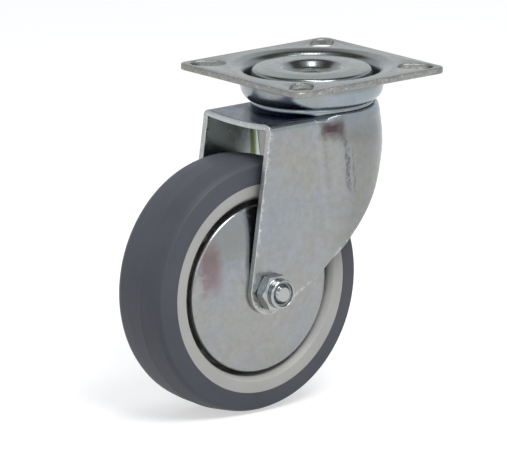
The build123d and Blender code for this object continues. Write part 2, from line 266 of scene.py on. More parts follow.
def painted_light_on_sheet(n, place, split, color):
    """Painted reflections, painted light and painted shade set after the photograph, by position on the
    pressed sheet.

    Leaving this out gives plain sheet with no painted light.
    """
    x, z = split["X"], split["Z"]
    side = n.math("ABSOLUTE", split["Y"])
    nut_side = n.product(split["Y"], -1.0)
    # painted reflection: the head, from the plate down to the crown, is tinted bluer for the blue it reflects
    color = n.tint(n.span(z, *HEAD_BLUE_Z), color, (0.96, 1.03, 1.08))
    # painted shade: the plate and the cap are painted darker than the fork
    color = n.tint(n.ramp(z, *SHADED_TOP_Z), color, (0.72, 0.73, 0.69))
    # painted reflection and painted shade: the crown is painted darker and bluer, most of all beside the
    # ring, for the bowl's dark underside that it reflects and the ring's shade
    level = n.math("SUBTRACT", 1.0, n.ramp(side, *CROWN_SIDE))
    crown = n.product(n.span(z, *CROWN_Z), n.span(x, *CROWN_X), level)
    color = n.tint(crown, color, (0.44, 0.48, 0.62))
    color = n.tint(n.product(crown, n.span(x, *RING_SHADE_X)), color, (0.26, 0.36, 0.46))
    # painted light: inside the fork the sheet is painted paler, standing for light bounced about inside it
    color = n.tint(n.product(n.span(side, *INNER_SIDE), n.span(z, *INNER_Z)), color, (1.5, 1.6, 1.55))
    # painted reflection: dark streaks on the round of the hood, just behind its step
    lean = n.math("ADD", n.math("ADD", x, n.product(z, REFLECTED_STREAK_SLOPE)), n.drift(place, 240.0, 2.4, 2.0))
    first, second = (
        n.product(n.span(lean, *across), n.span(z, *upright), depth) for across, upright, depth in REFLECTED_STREAKS
    )
    streak_breakup = n.spread(n.noise(place, *REFLECTED_STREAK_BREAKUP), 0.40, 0.60, 0.10, 1.0)
    painted_streaks = n.product(n.math("MAXIMUM", first, second), streak_breakup, n.ramp(nut_side, *REFLECTED_STREAK_SIDE), REFLECTED_STREAK_DEPTH)
    color = n.tint(painted_streaks, color, (0.40, 0.40, 0.46))
    # painted reflection: brown patch with a darker violet core under the rim, at the top of the step
    drift = n.drift(place, 420.0, 4.0, 3.0, 0.6)
    height = n.math("ADD", z, drift)
    across = n.math("ADD", x, n.product(drift, 0.6))
    brown = n.product(n.span(across, *BROWN_X), n.span(height, *BROWN_Z), n.ramp(nut_side, *BROWN_SIDE))
    core = n.product(brown, n.span(height, *BROWN_CORE_Z), n.span(across, *BROWN_CORE_X))
    color = n.tint(brown, color, (0.52, 0.39, 0.35))
    color = n.tint(core, color, (0.62, 0.60, 0.74))
    # painted reflection: faint red-brown patch on the front of the near guard disc
    across = n.math("ADD", x, n.product(drift, 1.5))
    disc = n.product(n.span(across, *DISC_X), n.span(height, *DISC_Z), n.span(nut_side, *DISC_SIDE))
    color = n.tint(disc, color, (0.80, 0.60, 0.60))
    # painted reflection: olive tint inside the fork, along the foot of the far step
    olive = n.product(n.span(x, *OLIVE_X), n.span(z, *OLIVE_Z), n.span(split["Y"], *OLIVE_Y))
    color = n.tint(olive, color, (0.36, 0.38, 0.20))
    # painted shade: the round of the hood is painted a little darker than its flat sides
    below = n.math("SUBTRACT", 1.0, n.ramp(z, *ROUND_Z))
    return n.tint(n.product(n.ramp(x, *ROUND_X), below), color, (0.82, 0.82, 0.80))


def zinc(name, color_a, color_b, rough_low, rough_high, grain=420.0, bump=0.02, mottle_and_painted_light=False):
    """Bright zinc plate: cloudy tint, fine mottling, a slightly wavy surface and paler sheared edges with
    painted glints.

    The pressed sheet is also mottled blue and yellow, and has painted reflections, painted light and painted
    shade by position.
    """
    material, n = new_material(name)
    place = n.add("ShaderNodeTexCoord").outputs["Object"]
    split = n.add("ShaderNodeSeparateXYZ", {"Vector": place}).outputs
    cloud = n.noise(place, *CLOUDS)
    fine = n.noise(place, grain, 4.0, 0.65)
    speck = n.noise(place, *SPECKS)
    color = n.blend(n.spread(cloud, 0.35, 0.65, 0.0, 1.0), color_a, color_b)
    if mottle_and_painted_light:
        blue_cloud = n.noise(place, *BLUE_CLOUDS)
        yellow_cloud = n.noise(place, *YELLOW_CLOUDS)
        color = n.tint(n.spread(blue_cloud, 0.45, 0.65, 0.0, 0.8), color, (1.0, 1.0, 1.10))
        color = n.tint(n.spread(yellow_cloud, 0.40, 0.62, 0.0, 0.8), color, (0.93, 0.93, 0.88))
    color = n.tint(n.spread(fine, 0.3, 0.7, 0.0, 0.5), color, (0.90, 0.91, 0.92))
    color = n.tint(n.spread(speck, 0.66, 0.76, 0.0, 0.3), color, (0.78, 0.80, 0.82))
    if mottle_and_painted_light:
        color = painted_light_on_sheet(n, place, split, color)
    # sheared edges are paler and rougher, with painted glints as painted highlights, and a little brown round
    # the plate
    edge = n.add("ShaderNodeAttribute", attribute_name="edge").outputs["Fac"]
    color = n.blend(n.product(edge, 0.5), color, (0.60, 0.61, 0.60))
    painted_glint = n.product(edge, n.spread(n.noise(place, *PAINTED_GLINTS), 0.58, 0.68, 0.0, 0.4))
    color = n.blend(painted_glint, color, (0.97, 0.98, 0.98))
    flange = n.product(edge, n.span(split["Z"], *FLANGE_Z), n.spread(fine, 0.35, 0.60, 1.0, 0.5))
    color = n.tint(flange, color, (0.58, 0.55, 0.51))
    rough = n.math("ADD", n.spread(fine, 0.3, 0.7, rough_low, rough_high), n.product(edge, 0.22))
    wave = n.noise(place, *WAVES)
    height = n.math("ADD", n.product(wave, 0.7), n.product(fine, 0.3))
    bumped = n.add("ShaderNodeBump", {"Height": height}, values={"Strength": bump, "Distance": 0.0005})
    shader = n.add(
        "ShaderNodeBsdfPrincipled",
        {"Base Color": color, "Roughness": rough, "Normal": bumped.outputs["Normal"]},
        values={"Metallic": 1.0},
    )
    n.add("ShaderNodeOutputMaterial", {"Surface": shader.outputs["BSDF"]})
    return material


def moulded(name, color_a, color_b, rough_low, rough_high, grain, bump, specular=0.5):
    """Moulded plastic or rubber: even colour with faint clouds and a fine satin grain."""
    material, n = new_material(name)
    place = n.add("ShaderNodeTexCoord").outputs["Object"]
    cloud = n.noise(place, 45.0, 3.0, 0.5)
    fine = n.noise(place, grain, 3.0, 0.6)
    color = n.blend(n.spread(cloud, 0.35, 0.65, 0.0, 1.0), color_a, color_b)
    rough = n.spread(fine, 0.3, 0.7, rough_low, rough_high)
    bumped = n.add("ShaderNodeBump", {"Height": fine}, values={"Strength": bump, "Distance": 0.0002})
    shader = n.add(
        "ShaderNodeBsdfPrincipled",
        {"Base Color": color, "Roughness": rough, "Normal": bumped.outputs["Normal"]},
        values={"Specular IOR Level": specular},
    )
    n.add("ShaderNodeOutputMaterial", {"Surface": shader.outputs["BSDF"]})
    return material


MATERIALS = {
    "zinc_sheet": zinc("zinc_sheet", (0.286, 0.304, 0.316), (0.313, 0.313, 0.295), 0.18, 0.28, mottle_and_painted_light=True),
    "zinc_fastener": zinc("zinc_fastener", (0.35, 0.375, 0.40), (0.39, 0.395, 0.38), 0.15, 0.22, 900.0),
    "ball_steel": zinc("ball_steel", (0.62, 0.62, 0.64), (0.66, 0.66, 0.67), 0.06, 0.10, 900.0, 0.01),
    "bearing_steel": zinc("bearing_steel", (0.56, 0.56, 0.57), (0.60, 0.60, 0.60), 0.18, 0.25, 900.0, 0.02),
    "tread": moulded("tread", (0.058, 0.062, 0.077), (0.065, 0.070, 0.085), 0.50, 0.60, 1400.0, 0.10, 0.35),
    "core_plastic": moulded(
        "core_plastic", (0.365, 0.362, 0.345), (0.39, 0.387, 0.368), 0.42, 0.52, 1600.0, 0.05
    ),
    "nylon": moulded("nylon", (0.30, 0.33, 0.35), (0.34, 0.37, 0.38), 0.40, 0.50, 1600.0, 0.05),
}


def dress_frame():
    """Gives every carried-over CAD node the material of its slot."""
    slots = {part["node"]: part["material_slot"] for part in frame["record"]["subparts"]}
    for name, obj in frame["nodes"].items():
        for slot in obj.material_slots:
            slot.material = MATERIALS[slots[name]]


# ---- mesh helpers, all lengths in millimetres until add_piece ----
def rounded_path(points, closed=False, steps=8):
    """Polyline through (a, b) or (a, b, radius) points, with an arc of that radius at each rounded corner."""
    count = len(points)
    path = []
    for i, point in enumerate(points):
        here = Vector(point[:2])
        radius = point[2] if len(point) > 2 else 0
        if radius == 0 or (not closed and i in (0, count - 1)):
            path.append(here)
            continue
        to_last = (Vector(points[i - 1][:2]) - here).normalized()
        to_next = (Vector(points[(i + 1) % count][:2]) - here).normalized()
        half = to_last.angle(to_next) / 2
        centre = here + (to_last + to_next).normalized() * (radius / math.sin(half))
        first = here + to_last * (radius / math.tan(half)) - centre
        last = here + to_next * (radius / math.tan(half)) - centre
        turn = first.angle_signed(last)
        for k in range(steps + 1):
            angle = -turn * k / steps
            path.append(centre + Matrix.Rotation(angle, 2) @ first)
    return path


def both_sides(path, thickness):
    """Closed outline of a sheet of that thickness about an open midline."""
    offsets = []
    for i, point in enumerate(path):
        ahead = (path[min(i + 1, len(path) - 1)] - path[max(i - 1, 0)]).normalized()
        offsets.append(Vector((-ahead.y, ahead.x)) * (thickness / 2))
    left = [p + o for p, o in zip(path, offsets)]
    right = [p - o for p, o in zip(path, offsets)]
    return left + right[::-1]


def lathe(outline, place, segments=192, closed=True):
    """Vertices and faces of an outline of (along, radius) points turned a full circle.

    place(along, radius, angle) gives each vertex.
    """
    verts = [place(a, r, math.tau * k / segments) for k in range(segments) for a, r in outline]
    n = len(outline)
    faces = []
    for k in range(segments):
        here, there = k * n, (k + 1) % segments * n
        for i in range(n if closed else n - 1):
            j = (i + 1) % n
            faces.append((here + i, here + j, there + j, there + i))
    return verts, faces


def strips(rows, count, closed=True, start=0):
    """Quads between neighbouring rows of count points, numbered from start; closed joins each row's ends."""
    faces = []
    for i in range(rows - 1):
        here, there = start + i * count, start + (i + 1) * count
        for k in range(count if closed else count - 1):
            j = (k + 1) % count
            faces.append((here + k, here + j, there + j, there + k))
    return faces


def append(verts, faces, points, new_faces):
    """Adds points and their faces to a mesh's lists."""
    start = len(verts)
    verts.extend(points)
    faces.extend(tuple(start + i for i in face) for face in new_faces)


def about_axle(along, radius, angle):
    """A point along the axle, at a radius and an angle round it."""
    return (-TRAIL + radius * math.cos(angle), along, -WHEEL_DROP + radius * math.sin(angle))


def about_swivel(height, radius, angle):
    """A point at a height, a radius and an angle round the swivel axis."""
    return (radius * math.cos(angle), radius * math.sin(angle), height)


def add_piece(name, verts, faces, material, body, replaced=(), crease=35.0, edge_from=None):
    """Makes a piece from millimetre vertices, smooth up to the crease angle, and ties it to its body.

    Vertices from number edge_from on belong to a sheared sheet edge, which the zinc shows paler.
    """
    mesh = bpy.data.meshes.new(name)
    mesh.from_pydata([Vector(v) * MM for v in verts], [], faces)
    if edge_from is not None:
        sheared = mesh.attributes.new("edge", "FLOAT", "POINT")
        sheared.data.foreach_set("value", [float(i >= edge_from) for i in range(len(verts))])
    work = bmesh.new()
    work.from_mesh(mesh)
    bmesh.ops.remove_doubles(work, verts=work.verts, dist=WELD_M)
    bmesh.ops.dissolve_degenerate(work, edges=work.edges, dist=WELD_M)
    bmesh.ops.recalc_face_normals(work, faces=work.faces)
    work.to_mesh(mesh)
    work.free()
    for face in mesh.polygons:
        face.use_smooth = True
    mesh.set_sharp_from_angle(angle=math.radians(crease))
    mesh.materials.append(material)
    piece = bpy.data.objects.new(name, mesh)
    bpy.context.scene.collection.objects.link(piece)
    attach(piece, body)
    if replaced:
        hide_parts(*replaced)


# ---- fork, as one pressing of even thickness with rounded edges ----
LIP_FROM_R = (23.3, 24.3)
SHEET_EDGE_R = 0.3
EDGE_TURN = np.radians(np.linspace(0, 90, 5))  # steps round a sheared edge
FOLD_TURN = np.radians(np.linspace(0, 90, 11))  # steps round a fold
ARC_SPAN = 56.0  # width given to the round part in the flat pattern
STEP_SPAN = 3.4
FOLD_END = 3.0
# (distance in from the side, height over the crown) across the raised rim
RIM_ROWS = (
    (0.0, -2.8), (0.05, -2.2), (0.14, -1.6), (0.27, -1.05), (0.42, -0.5), (0.55, 0.0), (0.68, 0.42),
    (0.88, 0.77), (1.15, 0.95), (1.5, 1.0), (1.85, 0.99), (2.03, 0.9), (2.1, 0.7), (2.12, 0.0), (3.0, 0.0),
)
RIM_FADE_X = (-18.0, -5.0)
# spacing of the points inside the walls and the crown, and how far they keep from the edge
WALL_GRID = 1.3
WALL_GAP = 0.6
FLAT_GRID = 2.0
FLAT_REACH = 50.0
CROWN_GAP = 0.5
LEG_LOWEST_Z = -92.0


def smooth_between(value, low, high):
    """Smooth step from 0 at low to 1 at high."""
    t = np.clip((value - low) / (high - low), 0, 1)
    return t * t * (3 - 2 * t)


def cubic_through(knots, values, slopes=None):
    """Cubic spline through the knots as a function, natural or with the two end slopes given."""
    x, y = np.array(knots, float), np.array(values, float)
    n, h = len(x), np.diff(x)
    a, b = np.eye(n), np.zeros(n)
    for i in range(1, n - 1):
        a[i, i - 1 : i + 2] = h[i - 1], 2 * (h[i - 1] + h[i]), h[i]
        b[i] = 6 * ((y[i + 1] - y[i]) / h[i] - (y[i] - y[i - 1]) / h[i - 1])
    if slopes:
        a[0, :2] = 2 * h[0], h[0]
        b[0] = 6 * ((y[1] - y[0]) / h[0] - slopes[0])
        a[-1, -2:] = h[-1], 2 * h[-1]
        b[-1] = 6 * (slopes[1] - (y[-1] - y[-2]) / h[-1])
    m = np.linalg.solve(a, b)

    def value(at):
        at = np.clip(at, x[0], x[-1])
        i = np.clip(np.searchsorted(x, at) - 1, 0, n - 2)
        left, right = at - x[i], x[i + 1] - at
        bend = (m[i] * right**3 + m[i + 1] * left**3) / (6 * h[i])
        return bend + (y[i] / h[i] - m[i] * h[i] / 6) * right + (y[i + 1] / h[i] - m[i + 1] * h[i] / 6) * left

    return value


HOOD_R = cubic_through([-z for z, _, _ in HOOD_PLAN], [r for _, r, _ in HOOD_PLAN])
HOOD_STEP = cubic_through([-z for z, _, _ in HOOD_PLAN], [s for _, _, s in HOOD_PLAN])


class Section:
    """Level cuts through the hood, drawn in from its outer skin by inset.

    u runs along a side from the middle of the back: round part, step, flat side.
    """

    def __init__(self, inset):
        self.inset = inset
        self.half = FORK_HALF - inset

    def shape(self, z):
        """Radius of the round part and the two ends of the step in x, at height z."""
        radius = HOOD_R(-z) - self.inset
        middle = HOOD_STEP(-z) + 0.5 * self.inset
        return radius, middle - STEP_RUN / 2, middle + STEP_RUN / 2

    def swing(self, t, z):
        """The step's curve, from the flat side at t = 0 to the round part at t = 1."""
        radius, start_x, end_x = self.shape(z)
        end_y = np.sqrt(np.maximum(radius**2 - end_x**2, 0))
        chord = np.hypot(end_x - start_x, end_y - self.half)
        ax, ay = end_y / radius, -end_x / radius
        h00, h10, h01, h11 = 2 * t**3 - 3 * t**2 + 1, t**3 - 2 * t**2 + t, 3 * t**2 - 2 * t**3, t**3 - t**2
        x = h00 * start_x + h10 * chord + h01 * end_x + h11 * chord * ax
        y = h00 * self.half + h01 * end_y + h11 * chord * ay
        return x, y

    def point(self, u, z):
        """Plan position at signed u and height z, arrays allowed."""
        side, u = np.where(u < 0, -1.0, 1.0), np.abs(u)
        radius, start_x, end_x = self.shape(z)
        turn = np.clip(u / ARC_SPAN, 0, 1) * np.arccos(np.clip(end_x / radius, -1, 1))
        swing_x, swing_y = self.swing(1 - np.clip((u - ARC_SPAN) / STEP_SPAN, 0, 1), z)
        flat_x = start_x - (u - ARC_SPAN - STEP_SPAN)
        on_arc, on_flat = u <= ARC_SPAN, u >= ARC_SPAN + STEP_SPAN
        x = np.where(on_arc, radius * np.cos(turn), np.where(on_flat, flat_x, swing_x))
        y = np.where(on_arc, radius * np.sin(turn), np.where(on_flat, self.half, swing_y))
        return x, y * side

    def u_at(self, x, z):
        """The u, without its side, where a side reaches x at height z."""
        radius, start_x, end_x = self.shape(z)
        arc = ARC_SPAN * np.arccos(np.clip(x / radius, -1, 1)) / np.arccos(end_x / radius)
        flat = ARC_SPAN + STEP_SPAN + start_x - x
        low, high = np.zeros_like(x), np.ones_like(x)
        for _ in range(30):
            mid = (low + high) / 2
            short = self.swing(mid, z)[0] < x
            low, high = np.where(short, mid, low), np.where(short, high, mid)
        return np.where(x >= end_x, arc, np.where(x <= start_x, flat, ARC_SPAN + STEP_SPAN * (1 - low)))


def crown_height(x, y):
    """Height of the crown: level under the ring, dipping between the folds towards the mouth."""
    dip = LIP_SAG * (1 - (y / (FORK_HALF - FOLD_END)) ** 2)
    return CROWN_TOP - np.maximum(dip, 0) * smooth_between(np.hypot(x, y), *LIP_FROM_R) * (x < -10)


def side_outline(section, drawn):
    """One side's edge seen from the side, from the fold at the mouth round to the middle of the back."""
    centre = np.array((-TRAIL, -WHEEL_DROP))
    bend = np.array((MOUTH_X, MOUTH_BEND_Z))
    fold_z = CROWN_TOP - FOLD_R
    reach = bend - centre
    lean = math.atan2(reach[1], reach[0]) + math.acos(LEG_END_R / math.hypot(*reach))
    leave = math.radians(LEG_LEAVE)
    turns = np.linspace(lean, leave + math.tau, 41)
    leg_end = centre + LEG_END_R * np.stack((np.cos(turns), np.sin(turns)), 1)
    knots = np.array([leg_end[-1], *REAR_CURVE])
    run = np.concatenate(([0], np.cumsum(np.hypot(*np.diff(knots, axis=0).T))))
    rear_x = cubic_through(run, knots[:, 0], (-math.sin(leave), 1.0))
    rear_z = cubic_through(run, knots[:, 1], (math.cos(leave), 0.0))
    low, high = run[-3], run[-1]
    for _ in range(40):
        mid = (low + high) / 2
        step = 0.01
        away = np.array((rear_z(mid + step) - rear_z(mid - step), rear_x(mid - step) - rear_x(mid + step)))
        place = np.array((rear_x(mid), rear_z(mid))) - away / np.hypot(*away) * drawn
        inside = place[0] < section.shape(place[1])[0]
        low, high = (mid, high) if inside else (low, mid)
    share = np.linspace(0, 1, 91)[1:]
    at = low * (1 - (1 - share) ** 2)
    rear = np.stack((rear_x(at), rear_z(at)), 1)
    mouth = np.stack((np.full(3, MOUTH_X), np.linspace(fold_z, MOUTH_BEND_Z, 3)), 1)
    front = bend + (leg_end[0] - bend) * np.linspace(0, 1, 40)[1:-1, None]
    path = np.concatenate((mouth, front, leg_end, rear))
    ahead = np.diff(path, axis=0)
    ahead /= np.hypot(*ahead.T)[:, None]
    before, after = np.concatenate((ahead[:1], ahead)), np.concatenate((ahead, ahead[-1:]))
    middle = (before + after) / np.linalg.norm(before + after, axis=1)[:, None]
    stretch = np.sum(middle * before, axis=1)
    inward = np.stack((-middle[:, 1], middle[:, 0]), 1)
    return path + inward * (drawn / stretch)[:, None]


def side_row(inset, x_front):
    """Signed u values of one level row, from the far side's front round the back to the near side's front."""
    section = Section(inset)
    start_x = float(section.shape(CROWN_TOP - FOLD_R)[1])
    flat = ARC_SPAN + STEP_SPAN + (start_x - x_front) * np.linspace(1, 0, 16)
    swing = ARC_SPAN + STEP_SPAN * np.linspace(1, 0, 15)[1:]
    arc = ARC_SPAN * np.linspace(1, 0, 49)[1:]
    half = np.concatenate((flat, swing, arc))
    return np.concatenate((half, -half[-2::-1]))


def fill_flat(loops, inner):
    """Triangles between closed loops of 2-D points, through the given inner points."""
    points, edges = [], []
    for loop in loops:
        start = len(points)
        points += [Vector(p) for p in loop]
        edges += [(start + i, start + (i + 1) % len(loop)) for i in range(len(loop))]
    points += [Vector(p) for p in inner]
    flat, _, faces, _, _, _ = delaunay_2d_cdt(points, edges, [], 2, 1e-7)
    flat = np.array([tuple(p) for p in flat])
    middles = np.array([flat[list(face)].mean(axis=0) for face in faces])
    holes = np.zeros(len(faces), bool)
    for loop in loops[1:]:
        holes |= is_inside(middles, loop)
    return flat, [tuple(face) for face, hole in zip(faces, holes) if not hole]


def is_inside(points, loop):
    """Which points lie inside the closed loop."""
    points, loop = np.asarray(points, float), np.asarray(loop, float)
    after = np.roll(loop, -1, axis=0)
    x, y = points[:, :1], points[:, 1:]
    crosses = (loop[:, 1] > y) != (after[:, 1] > y)
    run = np.where(after[:, 1] == loop[:, 1], 1, after[:, 1] - loop[:, 1])
    at = loop[:, 0] + (y - loop[:, 1]) * (after[:, 0] - loop[:, 0]) / run
    return np.sum(crosses & (x < at), axis=1) % 2 == 1


def inside_loop(points, loop, margin):
    """The points that lie inside the loop and at least margin from its corners."""
    points, loop = np.asarray(points, float), np.asarray(loop, float)
    gap = np.min(np.hypot(points[:, :1] - loop[:, 0], points[:, 1:] - loop[:, 1]), axis=1)
    return points[is_inside(points, loop) & (gap > margin)]


def fold_profile(inset):
    """(distance in from the side, height over the crown) along the plain fold."""
    radius = FOLD_R - inset
    profile = [(radius * (1 - math.cos(t)), -inset - radius * (1 - math.sin(t))) for t in FOLD_TURN]
    return profile + [(d, -inset) for d in np.linspace(radius, FOLD_END - inset, 5)[1:]]


def fork_skin(inset):
    """One face of the sheet: walls, folds and crown. Returns vertices and faces."""
    section = Section(inset)
    fold_z = CROWN_TOP - FOLD_R
    x_front = MOUTH_X + SHEET_EDGE_R
    verts, faces = [], []
    # walls, filled in the flat pattern of (u, z)
    edge = side_outline(section, SHEET_EDGE_R)
    u = section.u_at(edge[:, 0], edge[:, 1])
    u[-1] = 0
    far = np.stack((u, edge[:, 1]), 1)
    near = far[::-1] * (-1, 1)
    top = np.stack((side_row(inset, x_front), np.full(len(side_row(inset, x_front)), fold_z)), 1)
    loop = np.concatenate((far, near[1:-1], top[::-1][:-1]))
    columns = np.concatenate(
        (
            np.linspace(0, ARC_SPAN, 41),
            ARC_SPAN + STEP_SPAN * np.linspace(0, 1, 11)[1:],
            ARC_SPAN + STEP_SPAN + np.arange(FLAT_GRID, FLAT_REACH, FLAT_GRID),
        )
    )
    columns = np.concatenate((-columns[:0:-1], columns))
    rows = np.arange(fold_z - WALL_GRID, LEG_LOWEST_Z, -WALL_GRID)
    grid = np.stack(np.meshgrid(columns, rows), -1).reshape(-1, 2)
    flat, wall_faces = fill_flat([loop], inside_loop(grid, loop, WALL_GAP))
    x, y = section.point(flat[:, 0], flat[:, 1])
    append(verts, faces, list(zip(x, y, flat[:, 1])), wall_faces)

    # folds round the crown, with the raised rim over the round part of the outer face
    plain = fold_profile(inset)
    rim = RIM_ROWS if inset == 0 else plain
    x0, _ = section.point(side_row(inset, x_front), fold_z)
    rise = smooth_between(x0, *RIM_FADE_X)
    fold = []
    for (d0, h0), (d1, h1) in zip(plain, rim):
        line = []
        for i, share in enumerate(rise):
            drawn = inset + d0 + (d1 - d0) * share
            px, py = Section(drawn).point(side_row(drawn, x_front)[i], fold_z)
            line.append((float(px), float(py), CROWN_TOP + h0 + (h1 - h0) * share))
        fold.append(line)
    append(verts, faces, [p for line in fold for p in line], strips(len(fold), len(fold[0]), closed=False))

    # crown
    last = np.array([p[:2] for p in fold[-1]])
    lip = np.stack((np.full(25, x_front), np.linspace(last[-1][1], last[0][1], 25)), 1)
    loop = np.concatenate((last, lip[1:-1]))
    grid = np.stack(np.meshgrid(np.arange(-37.0, 25.0, 1.0), np.arange(-23.0, 24.0, 1.0)), -1).reshape(-1, 2)
    flat, crown_faces = fill_flat([loop], inside_loop(grid, loop, CROWN_GAP))
    z = crown_height(flat[:, 0], flat[:, 1]) - inset
    append(verts, faces, list(zip(flat[:, 0], flat[:, 1], z)), crown_faces)
    return verts, faces


def fork_edge_loop(inset, drawn):
    """The whole edge of one face of the sheet, drawn in along the face, as a closed loop of points."""
    section = Section(inset)
    x_front = MOUTH_X + drawn
    edge = side_outline(section, drawn)
    u = section.u_at(edge[:, 0], edge[:, 1])
    u[-1] = 0
    x, y = section.point(u, edge[:, 1])
    far = list(zip(x, y, edge[:, 1]))
    near = [(a, -b, c) for a, b, c in far[-2::-1]]
    near_fold = [(x_front, -(FORK_HALF - inset - d), CROWN_TOP + h) for d, h in fold_profile(inset)]
    far_fold = [(a, -b, c) for a, b, c in near_fold[::-1]]
    half = FORK_HALF - FOLD_END
    lip = [(x_front, y, float(crown_height(x_front, y)) - inset) for y in np.linspace(-half, half, 25)]
    return np.array(far + near + near_fold[1:] + lip[1:-1] + far_fold[:-1])


def make_fork():
    """The pressing's outer and inner faces, joined by a rounded sheared edge."""
    verts, faces = [], []
    for inset in (0.0, FORK_T):
        append(verts, faces, *fork_skin(inset))
    rings = []
    outer, outer_in = fork_edge_loop(0.0, 0.0), fork_edge_loop(0.0, SHEET_EDGE_R)
    inner, inner_in = fork_edge_loop(FORK_T, 0.0), fork_edge_loop(FORK_T, SHEET_EDGE_R)
    across = inner - outer
    across /= np.linalg.norm(across, axis=1)[:, None]
    for t in EDGE_TURN:
        rings.append(outer_in + across * SHEET_EDGE_R * (1 - math.cos(t)) + (outer - outer_in) * math.sin(t))
    for t in EDGE_TURN[::-1]:
        rings.append(inner_in - across * SHEET_EDGE_R * (1 - math.cos(t)) + (inner - inner_in) * math.sin(t))
    sheared = len(verts)
    append(verts, faces, [tuple(p) for line in rings for p in line], strips(len(rings), len(outer)))
    add_piece(
        "fork_shell",
        verts,
        faces,
        MATERIALS["zinc_sheet"],
        "swivel_frame",
        ("fork",),
        edge_from=sheared,
    )


# ---- top plate ----
PLATE_EDGE_R = 0.45
PLATE_CORNERS = ((1, 1), (-1, 1), (-1, -1), (1, -1))
ROUND_STEPS = 192
# the bowl's midline from the plate's mid-height to the floor: (height, radius, bend radius)
PLATE_MID_Z = -PLATE_T / 2
BOWL_LINE = (
    (PLATE_MID_Z, BOWL_JOIN_R),
    (PLATE_MID_Z, 31.8, 4.0),
    (PLATE_MID_Z - 1.0, 27.6, 2.4),
    (BOWL_FLOOR_Z - 0.8, 25.9, 4.3),
    (BOWL_FLOOR_Z - 0.8, 21.2, 1.0),
    (BOWL_FLOOR_Z, 19.6, 1.0),
    (BOWL_FLOOR_Z, FLANGE_HOLE_R),
)


def square_loop(drawn):
    """Rounded square of the plate, drawn in."""
    half, radius = PLATE_SIDE / 2 - PLATE_CORNER_R, PLATE_CORNER_R - drawn
    loop = []
    for corner, (sx, sy) in enumerate(PLATE_CORNERS):
        for k in range(13):
            turn = math.radians(90 * corner + 7.5 * k)
            loop.append((sx * half + radius * math.cos(turn), sy * half + radius * math.sin(turn)))
    return loop


def slot_loop(sx, sy, grown):
    """One slot, lying along its diagonal of the plate."""
    centre = Vector((sx, sy)) * (SLOT_SPACING / 2)
    along = Vector((sx, sy)).normalized()
    reach, radius = (SLOT_L - SLOT_W) / 2, SLOT_W / 2 + grown
    lean = math.atan2(along.y, along.x)
    loop = []
    for end in (1, -1):
        for k in range(25):
            turn = lean + math.radians(-90 + 7.5 * k) + (0 if end > 0 else math.pi)
            spoke = Vector((math.cos(turn), math.sin(turn))) * radius
            loop.append(tuple(centre + along * (reach * end) + spoke))
    return loop


def make_plate():
    """Flat plate with its slots, the bowl pressed down from it, and rounded sheared edges."""
    verts, faces = [], []
    turns = [math.tau * k / ROUND_STEPS for k in range(ROUND_STEPS)]
    circle = [(BOWL_JOIN_R * math.cos(t), BOWL_JOIN_R * math.sin(t)) for t in turns]
    loops = [square_loop(PLATE_EDGE_R), circle]
    loops += [slot_loop(sx, sy, PLATE_EDGE_R) for sx, sy in PLATE_CORNERS]
    flat, new_faces = fill_flat(loops, [])
    append(verts, faces, [(x, y, 0.0) for x, y in flat], new_faces)
    append(verts, faces, [(x, y, -PLATE_T) for x, y in flat], [face[::-1] for face in new_faces])
    bowl = both_sides(rounded_path(BOWL_LINE), PLATE_T)
    append(verts, faces, *lathe(bowl, about_swivel, ROUND_STEPS, closed=False))
    sheared = len(verts)
    rounds = [(PLATE_EDGE_R * (1 - math.sin(t)), -PLATE_EDGE_R * (1 - math.cos(t))) for t in EDGE_TURN]
    rounds += [(d, -PLATE_T - z) for d, z in rounds[::-1]]
    walls = [[square_loop(d) for d, _ in rounds]]
    walls += [[slot_loop(sx, sy, d) for d, _ in rounds] for sx, sy in PLATE_CORNERS]
    for wall in walls:
        points = [(*p, z) for loop, (_, z) in zip(wall, rounds) for p in loop]
        append(verts, faces, points, strips(len(wall), len(wall[0])))
    add_piece(
        "plate_pressing",
        verts,
        faces,
        MATERIALS["zinc_sheet"],
        "base",
        ("top_plate",),
        edge_from=sheared,
    )


# ---- turned pieces and refined copies of the solids ----
def refined(node, name, material, body, crease=35.0):
    """A solid's own shape with its facets joined and shaded smooth, shown in place of the node."""
    source = frame["nodes"][node].data
    verts = [v.co / MM for v in source.vertices]
    faces = [tuple(face.vertices) for face in source.polygons]
    add_piece(name, verts, faces, MATERIALS[material], body, (node,), crease)


# half of the tread's outline as (radius, distance from the middle, corner radius)
TREAD_HALF = (
    (41.2, 14.4),
    (41.55, 14.38),
    (42.2, 14.25, 0.5),
    (48.1, 13.0, 0.8),
    (48.3, 12.6, 0.5),
    (49.05, 10.9, 3.5),
    (49.62, 6.0, 20.0),
)
# the raised parting line across the tread, as (distance from its middle, radius)
PARTING_LINE = ((-0.5, 49.9), (-0.15, 49.93), (0.0, 50.0), (0.15, 49.93), (0.5, 49.91))
PARTING_Y = 2.0
TREAD_BORE_R = 40.6
TREAD_BORE_Y = 14.3
TREAD_CREASE = 25.0
TREAD_STEPS = 288

NUT_AF = 13.0
NUT_HEX_H = 4.8
NUT_H = 8.0
HEX_SIDE_STEPS = 16
HEX_CHAMFER_SLOPE = 0.577
HEX_CHAMFER_IN = 0.25
HEX_CORNER_CUT = 0.12
FASTENER_CREASE = 28.0
COLLAR_FOOT_R = 6.15
COLLAR_R = 5.8
COLLAR_BORE_R = 4.75
COLLAR_LIP_H = 0.9
INSERT_POCKET_H = 2.2
INSERT_Y = (-26.2, -27.5)
INSERT_R = (4.74, 4.0)
INSERT_STEPS = 96
THREAD_R = 4.0
SHANK_R = 3.95
THREAD_PITCH = 1.25
THREAD_DEPTH = 0.62
THREAD_START_Y = -17.0
THREAD_TURN_STEPS = 48
THREAD_PITCH_STEPS = 8
# share of the pitch that the crest takes, and the share over which the flank falls
THREAD_CREST = 0.12
THREAD_FLANK = 0.75
BOLT_TIP_Y = -28.8
BOLT_TIP_R = 2.75
BOLT_TIP_SLOPE = 0.7
BOLT_HEAD_H = 5.3


